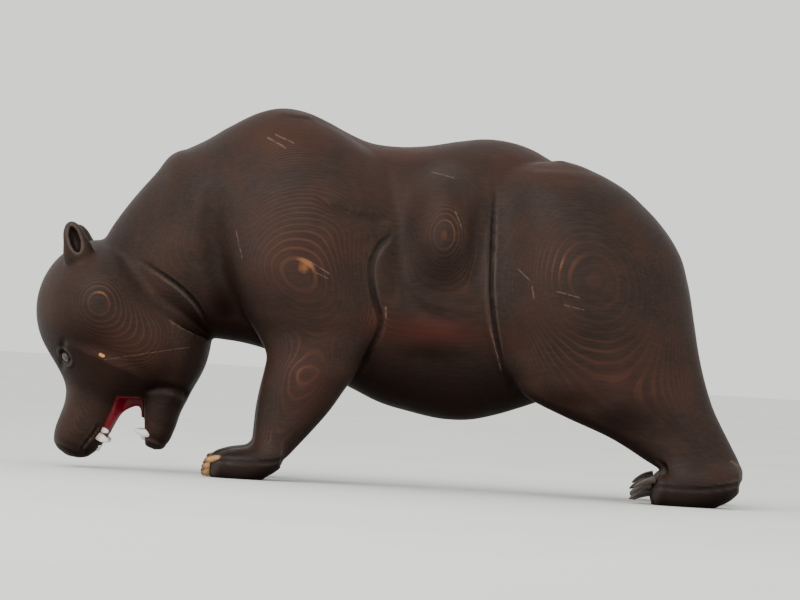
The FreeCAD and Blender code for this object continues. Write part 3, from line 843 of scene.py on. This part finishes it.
def spun(line, radii, sides=20):
    """Points and faces of a round peg: its middle line in millimetres, and its radius along it."""
    line = np.asarray(line, float)
    heading = np.gradient(line, axis=0)
    heading /= np.linalg.norm(heading, axis=1)[:, None]
    points, faces = [], []
    for centre, ahead, radius in zip(line, heading, radii):
        first = np.cross(ahead, (1.0, 0.0, 0.0))
        if np.linalg.norm(first) < 0.2:
            first = np.cross(ahead, (0.0, 0.0, 1.0))
        first /= np.linalg.norm(first)
        second = np.cross(ahead, first)
        for turn in np.linspace(0.0, 2.0 * math.pi, sides, endpoint=False):
            points.append(centre + radius * (math.cos(turn) * first + math.sin(turn) * second))
    for ring in range(len(line) - 1):
        for i in range(sides):
            j = (i + 1) % sides
            a, b = ring * sides, (ring + 1) * sides
            faces.append((a + i, a + j, b + j, b + i))
    faces.append(tuple(reversed(range(sides))))
    faces.append(tuple(range((len(line) - 1) * sides, len(line) * sides)))
    along = np.repeat(np.linspace(0.0, 1.0, len(line)), sides)
    return np.array(points), faces, along


def add_insert(name, node, material, pegs):
    points, faces, along = [], [], []
    for peg_points, peg_faces, peg_along in pegs:
        start = sum(len(p) for p in points)
        points.append(peg_points)
        faces += [tuple(start + v for v in face) for face in peg_faces]
        along.append(peg_along)
    mesh = bpy.data.meshes.new(name)
    mesh.from_pydata((np.concatenate(points) * MM).tolist(), [], faces)
    mesh.polygons.foreach_set("use_smooth", [len(face) == 4 for face in faces])
    write_values(mesh, {"tip": np.concatenate(along)})
    mesh.update()
    item = bpy.data.objects.new(name, mesh)
    scene.collection.objects.link(item)
    item.data.materials.append(material)
    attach(item, "root")
    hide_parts(node)


def from_head(x, hy, hz):
    """A place in the head, given in the frame."""
    c, s = math.cos(HEAD_PITCH), math.sin(HEAD_PITCH)
    return to_frame(x, HEAD[1] + hy * c - hz * s, HEAD[2] + hy * s + hz * c)


def tooth(x, hy, up_from, direction, long, root, lean=0.0, curl=0.0, blunt=0.12):
    """direction is +1 for a tooth that points up to the palate and -1 for one that hangs."""
    t = np.linspace(0.0, 1.0, 14)
    reach = -0.35 + 1.35 * t
    line = [
        from_head(x, hy + (lean * r + curl * r * r) * long, up_from + direction * r * long) for r in reach
    ]
    radii = root * np.sqrt(np.clip(1.0 - np.clip(t - 0.1, 0, 1) ** 1.6, blunt ** 2, 1.0))
    radii[-1] = root * blunt * 0.6
    return spun(line, radii)


def add_teeth(material):
    for label, side in (("left", 1.0), ("right", -1.0)):
        upper = [
            tooth(side * 13.0, -68.2, -21.8, -1.0, 4.9, 2.3, -0.15, 0.10),
            tooth(side * 13.8, -64.0, -21.8, -1.0, 2.9, 1.6, 0.05, 0.0, 0.3),
        ]
        add_insert(f"upper_canine_{label}_tooth", f"upper_canine_{label}", material, upper)
        lower = [tooth(side * 10.2, -55.5, -44.6, 1.0, 7.6, 2.4, -0.30, 0.12)]
        add_insert(f"lower_canine_{label}_tooth", f"lower_canine_{label}", material, lower)
    places = [(-4.75 + 1.9 * i) for i in range(6)]
    upper = [tooth(x * 1.25, -75.0 + 0.10 * x * x, -21.4, -1.0, 2.8, 1.15, 0.0, 0.0, 0.5) for x in places]
    add_insert("upper_incisor_row", "upper_incisors", material, upper)
    lower = [tooth(x * 1.1, -58.8 + 0.08 * x * x, -44.2, 1.0, 2.8, 1.05, -0.1, 0.0, 0.5) for x in places]
    add_insert("lower_incisor_row", "lower_incisors", material, lower)


def claw(x, y, z, long, root, tip, droop, hook, belly=0.0):
    """A claw that points forward from its root, droops and then hooks down."""
    t = np.linspace(0.0, 1.0, 16)
    down = z - long * (math.tan(math.radians(droop)) * t + hook * t ** 2.2)
    line = to_frame(x, y - long * t, down)
    radii = root + (tip - root) * t + belly * np.sin(math.pi * np.clip(t * 1.1, 0, 1))
    radii[-2] *= 0.86
    radii[-1] *= 0.45
    return spun(line, radii)


def add_claws(amber, dark):
    for label, side in (("left", 1.0), ("right", -1.0)):
        fore, hind = [], []
        fore_step = 0.0 if side > 0 else FORE_STEP
        hind_step = 0.0 if side > 0 else HIND_STEP
        for number in range(5):
            out = (number - 2) * TOE_PITCH
            rise = 3.45 * max(0, number - 2)
            x = side * (FOREPAW_MIDDLE + out)
            y = -96.6 + 0.25 * max(0.0, abs(out) - 6.0) + fore_step
            fore.append(claw(x, y, 2.0 + rise, 10.2, 1.62, 1.4, 8.0, 0.05, 0.24))
            x = side * (HIND_PAW_MIDDLE + out)
            y = 137.5 + 0.35 * max(0.0, abs(out) - 6.0) + hind_step
            hind.append(claw(x, y, 5.6 + 0.9 * rise, 11.8, 2.4, 0.7, 8.0, 0.30, 0.35))
        add_insert(f"claws_fore_{label}_pegs", f"claws_fore_{label}", amber, fore)
        add_insert(f"claws_hind_{label}_pegs", f"claws_hind_{label}", dark, hind)


def add_eyes(material):
    for label, side in (("left", 1.0), ("right", -1.0)):
        seat = from_head(side * EYE[0], EYE[1], EYE[2])
        outward = slope_of(bear, seat[None, :].astype(np.float32), 3.0)[0]
        outward /= np.linalg.norm(outward)
        t = np.linspace(0.0, 1.0, 16)
        rise = -4.0 + 4.6 * np.clip(t * 1.6, 0.0, 1.0) + 1.5 * np.clip((t - 0.4) / 0.6, 0.0, 1.0) ** 0.5
        dome = np.clip((t - 0.4) / 0.6, 0.0, 1.0)
        radii = 2.7 * np.sqrt(np.clip(1.0 - dome ** 2, 0.004, 1.0))
        line = seat + (rise - 1.6)[:, None] * outward
        # keeps the line moving, so that its heading is known everywhere
        line = line + np.linspace(0.0, 1e-3, 16)[:, None] * outward
        add_insert(f"eye_{label}_bead", f"eye_{label}", material, [spun(line, radii, 28)])


# ---------------------------------------------------------------- put together

add_camera()
add_stage(pale_floor())

body_mesh, body_points = field_to_mesh("carving", bear)
write_values(body_mesh, surface_values(body_points))
body = bpy.data.objects.new("carving", body_mesh)
scene.collection.objects.link(body)
body.data.materials.append(stained_wood())
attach(body, "root")
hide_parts("carved_body")

add_teeth(ivory_tooth())
add_claws(amber_claw(), dark_claw())
add_eyes(eye_glass())
